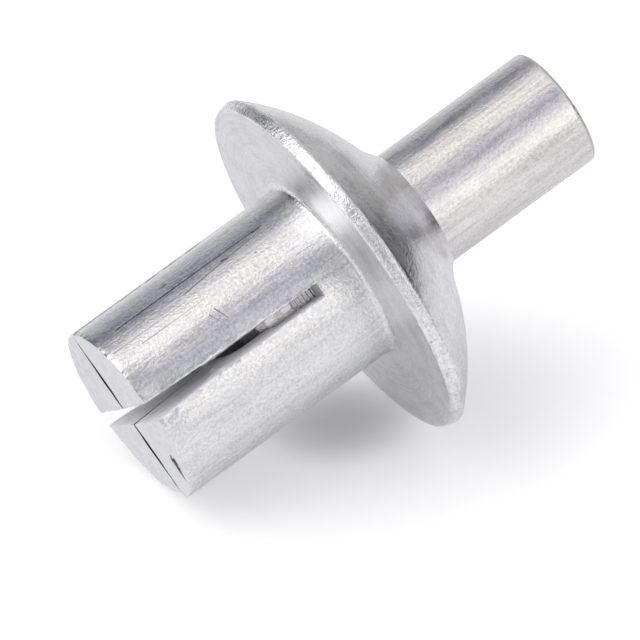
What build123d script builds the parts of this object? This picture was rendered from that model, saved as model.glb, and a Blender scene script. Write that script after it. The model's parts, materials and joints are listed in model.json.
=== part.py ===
from build123d import *
import os

"""A hammer-drive rivet: a domed rivet body with a cross-split shank, and the pin driven into it.

The origin is on the axis, in the bearing face under the head. The split shank points up (+Z). The
head and the drive pin point down, and the pin's flat end is the lowest point. All in millimetres.
"""

# Shank
shank_radius = 3.2
shank_length = 8.3
shank_tip_chamfer = 0.06
neck_fillet = 0.2              # under the head, where the shank meets the bearing face

# Head
head_radius = 6.35             # at the foot of the dome, the widest point
rim_height = 0.44              # bearing face to the foot of the dome
rim_draft = 0.08               # how far the rim draws in at the bearing face
rim_round = 0.1
crown_height = 3.25            # bearing face to the dome's apex, were there no bore or flare

# Lip that the dome flares up into, round the bore's mouth
lip_height = 3.25              # bearing face to the lip's top
lip_wall = 0.1
flare_radius = 3.2             # where the dome begins to flare
lip_round = 0.04

# Drive pin
pin_radius = 2.1
pin_length = 12.78
pin_depth = 3.58               # how far the pin reaches past the bearing face, into the shank
pin_end_round = 0.12
pilot_radius = 2.02            # the slightly smaller nose that leads the pin in
pilot_length = 0.95
nose_chamfer_length = 0.3
nose_radius = 1.78
pilot_shoulder_length = 0.12

# Fine rings rolled round the pin, which grip the bore
ring_count = 6
ring_pitch = 0.15
ring_depth = 0.05
ring_zone_depth = 1.42         # bearing face to the first ring

# Blind bore that the pin is pressed into
bore_clearance = 0.01
bore_depth = 5.0               # bearing face to the flat that the punch leaves
bore_corner_radius = 0.8
bore_mouth_chamfer = 0.04

# The four prongs are centred on the X and Y axes, so the two slots between them are turned from X and
# Y by this angle.
slot_turn = 45

# The open slot. Its gaps are full widths, first at its throat near the axis and then at the shank's
# surface. It is a plain window beside the pin, is pinched to a groove where the bore ends, and opens
# again towards the mouth.
slot_root_height = 1.4         # top of the solid collar above the bearing face
slot_throat_radius = 1.4
window_end_height = 3.0
window_throat_gap = 0.37
window_surface_gap = 0.5
pinch_start_height = 3.4
pinch_end_height = 5.2
pinch_throat_gap = 0.06
pinch_surface_gap = 0.55
core_open_height = 5.7
core_throat_gap = 0.36
mouth_throat_radius = 0.4
mouth_throat_gap = 0.62
mouth_surface_gap = 0.69

# The closed slit crosses it at a right angle, and is squeezed almost shut all the way.
slit_root_height = 1.9
slit_throat_gap = 0.05
slit_surface_gap = 0.08

overcut = 0.5                  # how far a cutter runs past the surface that it leaves through

bore_radius = pin_radius + bore_clearance
lip_radius = bore_radius + lip_wall
dome_rise = crown_height - rim_height
dome_radius = (head_radius**2 + dome_rise**2) / (2 * dome_rise)
flare_height = dome_radius - crown_height - (dome_radius**2 - flare_radius**2) ** 0.5
pin_end_height = pin_depth - pin_length
pilot_end_height = pin_depth - pilot_length
pilot_top_height = pin_depth - nose_chamfer_length


def gap_plan(throat_radius, throat_gap, surface_gap):
    """Corners of a slot's plan: parallel through the middle, then flaring to the shank's surface."""
    reach = shank_radius + overcut
    flare = (surface_gap - throat_gap) / (shank_radius - throat_radius)
    reach_gap = throat_gap + flare * (reach - throat_radius)
    one_side = [
        (reach_gap / 2, reach),
        (throat_gap / 2, throat_radius),
        (throat_gap / 2, -throat_radius),
        (reach_gap / 2, -reach),
    ]
    return one_side + [(-x, -y) for x, y in one_side]


# Stations of the open slot, from its root to past its mouth.
open_slot_stations = [
    (slot_root_height, slot_throat_radius, window_throat_gap, window_surface_gap),
    (window_end_height, slot_throat_radius, window_throat_gap, window_surface_gap),
    (pinch_start_height, slot_throat_radius, pinch_throat_gap, pinch_surface_gap),
    (pinch_end_height, slot_throat_radius, pinch_throat_gap, pinch_surface_gap),
    (core_open_height, slot_throat_radius, core_throat_gap, pinch_surface_gap),
    (shank_length, mouth_throat_radius, mouth_throat_gap, mouth_surface_gap),
    (shank_length + overcut, mouth_throat_radius, mouth_throat_gap, mouth_surface_gap),
]

with BuildPart() as open_slot:
    for height, throat_radius, throat_gap, surface_gap in open_slot_stations:
        with BuildSketch(Plane.XY.offset(height)):
            Polygon(*gap_plan(throat_radius, throat_gap, surface_gap), rotation=slot_turn, align=None)
    loft(ruled=True)

with BuildPart() as closed_slit:
    with BuildSketch(Plane.XY.offset(slit_root_height)):
        slit_plan = gap_plan(slot_throat_radius, slit_throat_gap, slit_surface_gap)
        Polygon(*slit_plan, rotation=slot_turn + 90, align=None)
    extrude(amount=shank_length + overcut - slit_root_height)


def corner(profile, radius, height):
    """The corner that a half profile has at one radius and height."""
    return profile.vertices().sort_by_distance((radius, height, 0))[0]


with BuildPart() as rivet_body:
    # Head, shank and lip, cold-headed from one blank: half the outline, turned about the axis.
    with BuildSketch(Plane.XZ) as blank:
        with BuildLine():
            Polyline(
                (lip_radius, -lip_height),
                (0, -lip_height),
                (0, shank_length),
                (shank_radius, shank_length),
                (shank_radius, 0),
                (head_radius - rim_draft, 0),
                (head_radius, -rim_height),
            )
            dome = RadiusArc((head_radius, -rim_height), (flare_radius, flare_height), dome_radius)
            TangentArc(dome @ 1, (lip_radius, -lip_height), tangent=dome % 1)
        make_face()
        chamfer(corner(blank, shank_radius, shank_length), shank_tip_chamfer)
        fillet(corner(blank, shank_radius, 0), neck_fillet)
        fillet(corner(blank, head_radius - rim_draft, 0), rim_round)
        fillet(corner(blank, lip_radius, -lip_height), lip_round)
    revolve(axis=Axis.Z)

    # Blind bore, with the rounded corner of the punch at its bottom.
    with BuildSketch(Plane.XZ) as bore:
        with Locations((0, bore_depth)):
            Rectangle(bore_radius, bore_depth + lip_height, align=(Align.MIN, Align.MAX))
        fillet(corner(bore, bore_radius, bore_depth), bore_corner_radius)
    revolve(axis=Axis.Z, mode=Mode.SUBTRACT)
    bore_mouth = rivet_body.edges().filter_by(GeomType.CIRCLE).group_by(Axis.Z)[0].sort_by(SortBy.RADIUS)[0]
    chamfer(bore_mouth, bore_mouth_chamfer)

    # Two crossing slots split the shank into four prongs.
    add(open_slot.part, mode=Mode.SUBTRACT)
    add(closed_slit.part, mode=Mode.SUBTRACT)

with BuildPart() as drive_pin:
    with BuildSketch(Plane.XZ):
        with BuildLine():
            Polyline(
                (0, pin_end_height),
                (0, pin_depth),
                (nose_radius, pin_depth),
                (pilot_radius, pilot_top_height),
                (pilot_radius, pilot_end_height + pilot_shoulder_length),
                (pin_radius, pilot_end_height),
                (pin_radius, pin_end_height),
                close=True,
            )
        make_face()
    revolve(axis=Axis.Z)
    fillet(drive_pin.edges().filter_by(GeomType.CIRCLE).sort_by(Axis.Z)[0], pin_end_round)

    # Grip rings: a run of fine V-grooves.
    with BuildSketch(Plane.XZ):
        for ring in range(ring_count):
            with Locations((pin_radius, ring_zone_depth + ring * ring_pitch)):
                Polygon((-ring_depth, 0), (0, ring_pitch / 2), (0, -ring_pitch / 2), align=None)
    revolve(axis=Axis.Z, mode=Mode.SUBTRACT)

rivet_body.part.label = "rivet_body"
drive_pin.part.label = "drive_pin"

os.makedirs("parts", exist_ok=True)
for piece in (rivet_body.part, drive_pin.part):
    export_step(piece, f"parts/{piece.label}.step")
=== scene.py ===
"""Drive rivet: a domed, cold-headed aluminium body with a cross-split shank, and the drawn pin in it.

The frame gives the place and the overall size of the two nodes. Each is dressed by one piece that
keeps its box: the body is one closed skin with real slots, edges and burrs, and the pin is turned
and ringed by a Geometry Nodes rule. Sizes in the classes are millimetres; meshes are in metres.
"""

import json
import logging
import math
from collections.abc import Callable, Iterable
from dataclasses import dataclass
from enum import Enum
from functools import partial

import bmesh
import bpy
from mathutils import Matrix, Vector, noise

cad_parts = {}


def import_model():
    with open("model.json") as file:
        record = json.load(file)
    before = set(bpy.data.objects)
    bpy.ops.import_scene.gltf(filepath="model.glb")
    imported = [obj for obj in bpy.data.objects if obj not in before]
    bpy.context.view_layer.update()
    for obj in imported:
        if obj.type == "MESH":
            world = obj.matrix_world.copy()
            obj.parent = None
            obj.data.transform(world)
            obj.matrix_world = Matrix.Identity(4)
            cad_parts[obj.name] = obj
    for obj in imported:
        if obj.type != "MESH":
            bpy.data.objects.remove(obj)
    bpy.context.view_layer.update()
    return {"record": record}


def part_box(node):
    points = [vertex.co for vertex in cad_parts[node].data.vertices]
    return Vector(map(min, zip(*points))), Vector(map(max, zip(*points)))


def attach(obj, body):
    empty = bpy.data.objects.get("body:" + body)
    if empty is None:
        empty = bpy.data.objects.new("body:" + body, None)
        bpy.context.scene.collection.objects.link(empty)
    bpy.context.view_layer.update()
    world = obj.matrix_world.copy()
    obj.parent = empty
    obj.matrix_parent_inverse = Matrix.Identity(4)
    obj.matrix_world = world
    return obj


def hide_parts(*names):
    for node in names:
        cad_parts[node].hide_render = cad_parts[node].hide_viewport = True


LOG = logging.getLogger("drive_rivet")
MM = 0.001
BORE_CLEARANCE = 0.01             # mm all round the pin
SAME_HEIGHT = 1e-6                # mm, within which two heights count as one
WHITE = (1.0, 1.0, 1.0, 1.0)
MATH, VECTOR_MATH, MAP_RANGE = "ShaderNodeMath", "ShaderNodeVectorMath", "ShaderNodeMapRange"

Key = tuple                       # name of one point of a skin
Column = tuple[str, int, int]     # "gap" or "prong", the slot that it is in or after, and its cell
AddNode = Callable[..., bpy.types.Node]


def smooth_step(low: float, high: float, value: float) -> float:
    """Eases from 0 at low to 1 at high."""
    t = min(max((value - low) / (high - low), 0.0), 1.0)
    return t * t * (3.0 - 2.0 * t)


def hill(centre: float, half_width: float, value: float) -> float:
    """A smooth hill, 1 high at centre and gone at half_width to each side."""
    return 1.0 - smooth_step(0.0, half_width, abs(value - centre))


def mix(a: float, b: float, t: float) -> float:
    """The value that lies t of the way from a to b."""
    return a + (b - a) * t


def steps(a: float, b: float, count: int) -> list[float]:
    """Even steps after a, up to and with b."""
    return [mix(a, b, (i + 1) / count) for i in range(count)]


def share_along(cell: int, cells: int, narrow: float) -> float:
    """How far along a row of cells a point lies, where all but the two end cells are even.

    Args:
        cell: number of the point.
        cells: how many cells the row has.
        narrow: share of the row in each end cell.

    Returns:
        The share of the row before the point.
    """
    if cell in (0, cells):
        return float(cell > 0)
    return mix(narrow, 1.0 - narrow, (cell - 1) / (cells - 2))


def polar(angle: float, radius: float, height: float) -> Vector:
    """A place given by its angle about the axis in radians, its radius and its height."""
    return Vector((radius * math.cos(angle), radius * math.sin(angle), height))


def srgb(code: str) -> tuple[float, float, float, float]:
    """Turns an sRGB hex colour to linear.

    Args:
        code: six hex digits.

    Returns:
        Linear red, green and blue, with an alpha of 1.
    """
    channels = [int(code[i:i + 2], 16) / 255.0 for i in (0, 2, 4)]
    linear = [c / 12.92 if c <= 0.04045 else ((c + 0.055) / 1.055) ** 2.4 for c in channels]
    return (*linear, 1.0)


@dataclass(frozen=True)
class Direction:
    """A direction from the rivet, as an azimuth and an elevation in degrees."""

    azimuth: float
    elevation: float

    def vector(self) -> Vector:
        """The unit vector that points that way."""
        rise = math.radians(self.elevation)
        return polar(math.radians(self.azimuth), math.cos(rise), math.sin(rise))


@dataclass(frozen=True)
class Waves:
    """Random unevenness, as seeded smooth noise."""

    height: float                 # mm, or a share of what it drives
    size: float                   # mm across one wave
    seed: float                   # moves to another part of the noise

    def at(self, place: Vector) -> float:
        """The unevenness at a place in mm, from about -height to height."""
        shift = Vector((self.seed, -self.seed, 2.0 * self.seed))
        return self.height * noise.noise(place / self.size + shift)

    def above(self, place: Vector) -> float:
        """The same raised by its height, so that it never falls below 0."""
        return self.height + self.at(place)


def bare_tree(owner: bpy.types.Material | bpy.types.World) -> bpy.types.NodeTree:
    """Turns on the nodes of a material or world.

    Args:
        owner: the material or world.

    Returns:
        Its node tree, emptied.
    """
    owner.use_nodes = True
    owner.node_tree.nodes.clear()
    return owner.node_tree


def add_node(tree: bpy.types.NodeTree, kind: str, inputs: dict | None = None,
             **settings: object) -> bpy.types.Node:
    """Adds a node with its settings, and sets or links its inputs.

    Args:
        tree: the node tree.
        kind: the node's type name.
        inputs: socket name or number to a value, to a node whose first output feeds it, or to an
            output socket. A Map Range node's sockets 0 to 4 are the value, the range that it comes
            from and the range that it goes to.
        settings: the node's own properties.

    Returns:
        The new node.
    """
    node = tree.nodes.new(kind)
    for name, value in settings.items():
        setattr(node, name, value)
    for key, value in (inputs or {}).items():
        if isinstance(value, bpy.types.Node):
            value = value.outputs[0]
        if isinstance(value, bpy.types.NodeSocket):
            tree.links.new(value, node.inputs[key])
        else:
            node.inputs[key].default_value = value
    return node


def new_object(name: str, data: bpy.types.ID) -> bpy.types.Object:
    """Makes an object and puts it in the scene.

    Args:
        name: the object's name.
        data: its mesh, lamp or camera.

    Returns:
        The new object, at the origin.
    """
    made = bpy.data.objects.new(name, data)
    bpy.context.scene.collection.objects.link(made)
    return made


# ---------------------------------------------------------------------------------------------
# Finishes
# ---------------------------------------------------------------------------------------------


class Grain(Enum):
    """Which way the marks of a finish run."""

    ALONG_AXIS = "along the rivet's axis"
    ROUND_AXIS = "in rings round the rivet's axis"
    LEVEL = "the same in every direction"


@dataclass(frozen=True)
class Marks:
    """The lines or dents that a way of working leaves."""

    width: float                  # mm across one mark
    length: float                 # mm along one mark
    depth: float                  # mm of relief
    soiling: float                # share of the dark colour in them


@dataclass(frozen=True)
class Grit:
    """The metal's fine texture, drawn several times as coarse as the real one so that it shows."""

    size: float                   # mm across one grain
    depth: float                  # mm of relief
    shade: float                  # share of the dark colour in its hollows


@dataclass(frozen=True)
class Pits:
    """Small round pits, scattered evenly."""

    spacing: float                # mm from pit to pit
    radius: float                 # mm
    depth: float = 0.008          # mm of relief
    shade: float = 0.35           # share of the dark colour in them


@dataclass(frozen=True)
class Patches:
    """Places where the metal is a little more or less worn."""

    size: float                   # mm across one patch
    shade: float = 0.0            # share of the dark colour in the darker ones


@dataclass(frozen=True)
class Groove:
    """A straight scratch, die line or crack.

    On a surface along the axis its ends are an azimuth in degrees and a height in mm, and on a face
    across the axis they are x and y in mm.
    """

    start: tuple[float, float]
    end: tuple[float, float]
    width: float                  # mm, at its start
    taper: float                  # share of the width that is left at its end
    dark: float                   # share of the dark colour in it
    depth: float = 0.02           # mm


@dataclass(frozen=True)
class AluminiumFinish:
    """Bare aluminium alloy, with the marks that one way of working leaves on it."""

    name: str
    grain: Grain
    light: str                    # sRGB hex of the clean metal
    dark: str                     # sRGB hex of its oxide and dirt, and of the painted shade in the crack and along the slit
    roughness: tuple[float, float]
    marks: Marks
    grit: Grit
    pits: Pits
    patches: Patches
    metallic: float = 1.0         # less where the metal is torn so finely that it scatters like chalk
    grooves: tuple[Groove, ...] = ()
    chart_radius: float = 0.0     # mm, of the surface that the grooves' azimuths lie on
    mark_radius: float = 4.0      # mm, where a mark that runs in a ring has its full length

    def chart(self, node: AddNode, millimetres: bpy.types.Node) -> bpy.types.Node:
        """Lays the surface out flat, for its grooves.

        Args:
            node: adds a node to the material.
            millimetres: the node that gives the place in mm.

        Returns:
            A vector node: x and y on a face across the axis, else the arc from azimuth 0 and the height.
        """
        x, y, z = node("ShaderNodeSeparateXYZ", {0: millimetres}).outputs
        if not self.chart_radius:
            return node("ShaderNodeCombineXYZ", {0: x, 1: y})
        angle = node(MATH, {0: y, 1: x}, operation="ARCTAN2")
        arc = node(MATH, {0: angle, 1: self.chart_radius}, operation="MULTIPLY")
        return node("ShaderNodeCombineXYZ", {0: arc, 1: z})

    def groove_mask(self, node: AddNode, chart: bpy.types.Node, ragged: bpy.types.Node,
                    groove: Groove) -> bpy.types.Node:
        """Draws one groove.

        Args:
            node: adds a node to the material.
            chart: the node that gives the place on the flat surface.
            ragged: noise that makes its edges uneven.
            groove: the groove.

        Returns:
            A node that is 1 in the groove and 0 beside it.
        """
        across = math.radians(1.0) * self.chart_radius if self.chart_radius else 1.0
        start, end = (Vector((x * across, y, 0.0)) for x, y in (groove.start, groove.end))
        run = end - start
        offset = node(VECTOR_MATH, {0: chart, 1: start}, operation="SUBTRACT")
        share = node(VECTOR_MATH, {0: offset, 1: run / run.length_squared},
                     operation="DOT_PRODUCT").outputs["Value"]
        share = node("ShaderNodeClamp", {0: share})
        nearest = node(VECTOR_MATH, {0: run, "Scale": share}, operation="SCALE")
        away = node(VECTOR_MATH, {0: offset, 1: nearest}, operation="DISTANCE").outputs["Value"]
        half_width = groove.width / 2.0
        half = node(MAP_RANGE, {0: share, 3: half_width, 4: half_width * groove.taper})
        half = node(MATH, {0: half, 1: ragged}, operation="MULTIPLY")
        away = node(MATH, {0: away, 1: half}, operation="DIVIDE")
        return node(MAP_RANGE, {0: away, 1: 1.0, 2: 0.5, 3: 0.0, 4: 1.0},
                    interpolation_type="SMOOTHSTEP")

    def mark_vector(self, node: AddNode, millimetres: bpy.types.Node) -> bpy.types.Node:
        """Stretches the coordinates along the marks.

        Args:
            node: adds a node to the material.
            millimetres: the node that gives the place in mm.

        Returns:
            A vector node in which a mark is about 1 wide.
        """
        across, along = 1.0 / self.marks.width, 1.0 / self.marks.length
        if self.grain is not Grain.ROUND_AXIS:
            scale = (across, across, along if self.grain is Grain.ALONG_AXIS else across)
            return node(VECTOR_MATH, {0: millimetres, 1: scale}, operation="MULTIPLY")
        x, y, z = node("ShaderNodeSeparateXYZ", {0: millimetres}).outputs
        flat = node("ShaderNodeCombineXYZ", {0: x, 1: y})
        radius = node(VECTOR_MATH, {0: flat}, operation="LENGTH").outputs["Value"]
        angle = node(MATH, {0: y, 1: x}, operation="ARCTAN2")
        scaled = [node(MATH, {0: value, 1: scale}, operation="MULTIPLY")
                  for value, scale in ((radius, across), (angle, along * self.mark_radius), (z, across))]
        return node("ShaderNodeCombineXYZ", dict(enumerate(scaled)))

    def material(self) -> bpy.types.Material:
        """Builds the material.

        Returns:
            The new material.
        """
        made = bpy.data.materials.new(self.name)
        node = partial(add_node, bare_tree(made))
        place = node("ShaderNodeTexCoord").outputs["Object"]
        millimetres = node(VECTOR_MATH, {0: place, 1: (1.0 / MM,) * 3}, operation="MULTIPLY")
        marks, tone, grit = (
            node("ShaderNodeTexNoise", {0: vector, "Scale": scale, "Detail": detail, "Roughness": rough})
            for vector, scale, detail, rough in ((self.mark_vector(node, millimetres), 1.0, 3.0, 0.62),
                                                 (millimetres, 1.0 / self.patches.size, 2.0, 0.6),
                                                 (millimetres, 1.0 / self.grit.size, 2.0, 0.75)))
        centres = node("ShaderNodeTexVoronoi", {0: millimetres, "Scale": 1.0 / self.pits.spacing})
        edge = self.pits.radius / self.pits.spacing
        pit = node(MAP_RANGE, {0: centres.outputs["Distance"], 1: edge, 2: 0.5 * edge, 3: 0.0, 4: 1.0},
                   interpolation_type="SMOOTHSTEP")

        dirt_and_painted_shade = node(MATH, {0: pit, 1: self.pits.shade}, operation="MULTIPLY")
        for texture, clean, full, most, easing in ((marks, 0.56, 0.36, self.marks.soiling, "SMOOTHSTEP"),
                                                   (grit, 0.62, 0.34, self.grit.shade, "LINEAR"),
                                                   (tone, 0.56, 0.36, self.patches.shade, "SMOOTHSTEP")):
            layer = node(MAP_RANGE, {0: texture, 1: clean, 2: full, 3: 0.0, 4: most},
                         interpolation_type=easing)
            dirt_and_painted_shade = node(MATH, {0: dirt_and_painted_shade, 1: layer}, operation="ADD")
        height = 0.0
        for texture, depth in ((marks, self.marks.depth), (grit, self.grit.depth),
                               (pit, -self.pits.depth)):
            height = node(MATH, {0: texture, 1: depth, 2: height}, operation="MULTIPLY_ADD")
        if self.grooves:
            chart = self.chart(node, millimetres)
            ragged = node(MAP_RANGE, {0: grit, 1: 0.35, 2: 0.65, 3: 0.5, 4: 1.5})
        # Grooves add real marks, and the crack and the slit-edge dashes add painted shade.
        for groove in self.grooves:
            mask = self.groove_mask(node, chart, ragged, groove)
            dirt_and_painted_shade = node(MATH, {0: mask, 1: groove.dark, 2: dirt_and_painted_shade}, operation="MULTIPLY_ADD")
            height = node(MATH, {0: mask, 1: -groove.depth, 2: height}, operation="MULTIPLY_ADD")

        dirt_and_painted_shade = node("ShaderNodeClamp", {0: dirt_and_painted_shade})
        colour = node("ShaderNodeMix", {0: dirt_and_painted_shade, 6: srgb(self.light), 7: srgb(self.dark)},
                      data_type="RGBA")
        worn = node(MATH, {0: marks, 1: tone}, operation="ADD")
        smoothest, roughest = self.roughness
        roughness = node(MAP_RANGE, {0: worn, 1: 0.75, 2: 1.25, 3: smoothest, 4: roughest})
        relief = node("ShaderNodeBump", {"Height": height, "Distance": MM, "Strength": 1.0})
        shader = node("ShaderNodeBsdfPrincipled",
                      {"Base Color": colour.outputs[2], "Metallic": self.metallic, "Roughness": roughness,
                       "Normal": relief})
        node("ShaderNodeOutputMaterial", {"Surface": shader})
        return made


SHANK_GROOVES = (
    # The die left a line along the shank, and handling the scratches.
    Groove((10.8, 7.3), (10.8, 1.5), 0.12, 0.7, 0.8, 0.03),
    Groove((1.8, 4.9), (7.2, 1.9), 0.07, 0.7, 0.6),
    Groove((14.5, 5.6), (14.2, 2.2), 0.05, 0.5, 0.45),
    Groove((6.0, 8.0), (5.6, 5.2), 0.04, 0.4, 0.3),
    Groove((-3.0, 7.9), (-3.3, 5.0), 0.04, 0.4, 0.25),
    Groove((-9.0, 7.0), (-9.2, 4.4), 0.04, 0.4, 0.25),
    # Nicks.
    Groove((18.8, 5.08), (18.8, 5.28), 0.16, 0.4, 0.8, 0.05),
    Groove((5.8, 3.25), (4.6, 3.05), 0.14, 0.5, 0.7, 0.05),
    Groove((10.6, 1.85), (9.6, 1.62), 0.15, 0.5, 0.7, 0.05),
    Groove((-17.9, 4.5), (-27.2, 4.34), 0.06, 0.5, 0.5, 0.03),
    Groove((-19.5, 4.75), (-26.0, 4.62), 0.05, 0.5, 0.4, 0.03),
    Groove((3.5, 8.22), (-1.0, 8.14), 0.15, 0.6, 0.8, 0.06),
    # Dark dashes along the slit's squeezed edge: painted shade of the slit.
    Groove((41.8, 8.1), (41.6, 6.7), 0.32, 0.7, 1.0, 0.04),
    Groove((41.6, 6.4), (41.4, 5.5), 0.30, 0.6, 1.0, 0.04),
    Groove((41.3, 5.2), (41.5, 4.8), 0.32, 0.5, 1.0, 0.04),
    Groove((41.5, 4.5), (41.2, 3.9), 0.30, 0.5, 1.0, 0.04),
    Groove((41.2, 3.6), (41.4, 3.2), 0.32, 0.5, 1.0, 0.04),
)
# Light scratches that cross the turned rings of the bearing face.
BEARING_SCRATCHES = (
    Groove((5.40, -1.00), (5.28, -2.10), 0.07, 0.6, 0.5, 0.03),
    Groove((5.55, -0.80), (5.46, -1.60), 0.05, 0.6, 0.4, 0.03),
    Groove((4.50, -2.95), (3.95, -3.75), 0.07, 0.6, 0.5, 0.03),
    Groove((4.42, -3.30), (3.70, -4.15), 0.05, 0.6, 0.4, 0.03),
)
# The squeeze tore it in one prong's end, from the slit outwards; its near-black colour is painted shade
# inside the crack.
END_CRACK = Groove((-0.06, -2.55), (-0.76, -2.92), 0.50, 0.10, 1.6, 0.12)

# Drawn over a die and then gripped: a fine frosted grain over soft lines along the shank, which
# breaks each reflection up into a mottled band.
SHANK = AluminiumFinish(
    "drawn_aluminium_shank", Grain.ALONG_AXIS, light="F6F6F6", dark="74757E", roughness=(0.18, 0.32),
    marks=Marks(width=0.17, length=2.2, depth=0.007, soiling=0.12),
    grit=Grit(size=0.10, depth=0.014, shade=0.26), pits=Pits(spacing=1.5, radius=0.06),
    patches=Patches(size=0.7), grooves=SHANK_GROOVES, chart_radius=3.2)
# Struck flat by the heading die, which was turned: faint rings and a satin sheen.
BEARING_FACE = AluminiumFinish(
    "headed_aluminium_bearing_face", Grain.ROUND_AXIS, light="F1F1F2", dark="70707C",
    roughness=(0.32, 0.46),
    marks=Marks(width=0.13, length=4.0, depth=0.014, soiling=0.12),
    grit=Grit(size=0.13, depth=0.010, shade=0.15), pits=Pits(spacing=0.9, radius=0.05),
    patches=Patches(size=0.8, shade=0.10), grooves=BEARING_SCRATCHES)
# The free edge that bulged out between the dies: bright and lumpy, with specks in its hollows.
RIM = AluminiumFinish(
    "bulged_aluminium_rim", Grain.ROUND_AXIS, light="FFFFFF", dark="5E5E66", roughness=(0.20, 0.34),
    marks=Marks(width=0.15, length=0.6, depth=0.028, soiling=0.15),
    grit=Grit(size=0.10, depth=0.028, shade=0.24), pits=Pits(spacing=0.5, radius=0.05),
    patches=Patches(size=0.5, shade=0.10))
# Pressed by the polished cup of the heading tool: smooth satin, with a few pits and dents.
DOME = AluminiumFinish(
    "headed_aluminium_dome", Grain.ROUND_AXIS, light="F4F4F4", dark="747480", roughness=(0.20, 0.32),
    marks=Marks(width=0.40, length=2.0, depth=0.010, soiling=0.12),
    grit=Grit(size=0.13, depth=0.010, shade=0.18), pits=Pits(spacing=1.0, radius=0.07),
    patches=Patches(size=0.9, shade=0.14))
# Sheared faces: matt and light, with a fine torn grain; the dark colour is deep so that the crack's
# painted shade comes out near black.
CUT_FACE = AluminiumFinish(
    "sheared_aluminium", Grain.LEVEL, light="F0F0F2", dark="3A3A40", roughness=(0.48, 0.62),
    marks=Marks(width=0.30, length=0.30, depth=0.005, soiling=0.07),
    grit=Grit(size=0.09, depth=0.006, shade=0.10), pits=Pits(spacing=0.7, radius=0.05),
    patches=Patches(size=0.9), grooves=(END_CRACK,))
# The open slot's walls: torn by the saw, so they scatter light deep into the slot.
SAWN_FACE = AluminiumFinish(
    "sawn_aluminium_slot", Grain.ALONG_AXIS, light="FCFCFE", dark="686872", roughness=(0.62, 0.80),
    marks=Marks(width=0.09, length=3.0, depth=0.018, soiling=0.26),
    grit=Grit(size=0.10, depth=0.014, shade=0.12), pits=Pits(spacing=0.6, radius=0.06),
    patches=Patches(size=0.9), metallic=0.15)
# Where the slit's walls were squeezed together: coloured near black, as painted shade inside the narrow
# slit.
SLIT_FACE_PAINTED_SHADE = AluminiumFinish(
    "soiled_aluminium_slit", Grain.LEVEL, light="3A3A3E", dark="1C1C20", roughness=(0.50, 0.70),
    marks=Marks(width=0.25, length=0.25, depth=0.010, soiling=0.30),
    grit=Grit(size=0.09, depth=0.010, shade=0.30), pits=Pits(spacing=0.5, radius=0.05),
    patches=Patches(size=0.8))
# Drawn wire: soft mottled bands along the pin, a little warmer and duller than the body.
PIN_SIDE = AluminiumFinish(
    "drawn_aluminium_wire", Grain.ALONG_AXIS, light="F4F2F0", dark="787679", roughness=(0.18, 0.32),
    marks=Marks(width=0.18, length=2.0, depth=0.010, soiling=0.18),
    grit=Grit(size=0.11, depth=0.012, shade=0.22), pits=Pits(spacing=1.4, radius=0.06),
    patches=Patches(size=0.7))
# The wire's cropped end: matt, with a coarse torn grain.
PIN_END = AluminiumFinish(
    "cropped_aluminium_wire_end", Grain.LEVEL, light="E2E1DF", dark="808084", roughness=(0.38, 0.55),
    marks=Marks(width=0.25, length=0.25, depth=0.014, soiling=0.24),
    grit=Grit(size=0.09, depth=0.008, shade=0.20), pits=Pits(spacing=0.6, radius=0.05),
    patches=Patches(size=0.8))

# Radius, height and the finish of the band that ends there.
OutlineRow = tuple[float, float, AluminiumFinish]


# ---------------------------------------------------------------------------------------------
# Meshes
# ---------------------------------------------------------------------------------------------


class Skin:
    """A closed mesh in the making, whose points are shared by name."""

    def __init__(self, name: str, finishes: list[AluminiumFinish]) -> None:
        """Starts empty.

        Args:
            name: name of the finished object.
            finishes: the finishes that its faces may take.
        """
        self.name = name
        self.finishes = finishes
        self.points: dict[Key, bmesh.types.BMVert] = {}
        self.keen: set[bmesh.types.BMVert] = set()
        self.mesh = bmesh.new()

    def point(self, key: Key, place: Vector) -> None:
        """Makes the point with that name, at a place in mm, if it isn't there yet."""
        if key not in self.points:
            self.points[key] = self.mesh.verts.new(place)

    def face(self, keys: list[Key], finish: AluminiumFinish) -> None:
        """Spans a face, and drops the corners that coincide.

        Args:
            keys: names of its corners, in order.
            finish: its finish.
        """
        corners = list(dict.fromkeys(self.points[key] for key in keys))
        if len(corners) > 2:
            made = self.mesh.faces.new(corners)
            made.material_index = self.finishes.index(finish)
            made.smooth = True

    def strip(self, first: list[Key], second: list[Key], finish: AluminiumFinish) -> None:
        """Spans a row of faces between two lines of as many points."""
        for a, b, c, d in zip(first, first[1:], second[1:], second):
            self.face([a, b, c, d], finish)

    def fan(self, ring: list[Key], pole: Key, finish: AluminiumFinish) -> None:
        """Spans faces from a ring, whose last point is its first, to the point in its middle."""
        for a, b in zip(ring, ring[1:]):
            self.face([a, b, pole], finish)

    def keep_keen(self, keys: Iterable[Key]) -> None:
        """Keeps the edges between these points from being broken."""
        self.keen.update(self.points[key] for key in keys)

    def finished(self, edge_break: float, sharp_degrees: float) -> bpy.types.Object:
        """Turns the skin into an object, in metres, with its sharp edges broken.

        Args:
            edge_break: width of the broken edges in mm.
            sharp_degrees: edges that turn by more than this are broken.

        Returns:
            The new object.
        """
        bmesh.ops.recalc_face_normals(self.mesh, faces=self.mesh.faces)
        weight = self.mesh.edges.layers.float.new("bevel_weight_edge")
        for edge in self.mesh.edges:
            broken = not self.keen.issuperset(edge.verts)
            edge[weight] = float(broken and edge.calc_face_angle(0.0) > math.radians(sharp_degrees))
        bmesh.ops.scale(self.mesh, vec=(MM,) * 3, verts=self.mesh.verts)
        data = bpy.data.meshes.new(self.name)
        self.mesh.to_mesh(data)
        self.mesh.free()
        for finish in self.finishes:
            data.materials.append(finish.material())
        made = new_object(self.name, data)
        bevel = made.modifiers.new("broken_edges", "BEVEL")
        bevel.width = edge_break * MM
        bevel.segments = 2
        bevel.limit_method = "WEIGHT"
        bevel.use_clamp_overlap = True
        settle(made)
        return made


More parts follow.
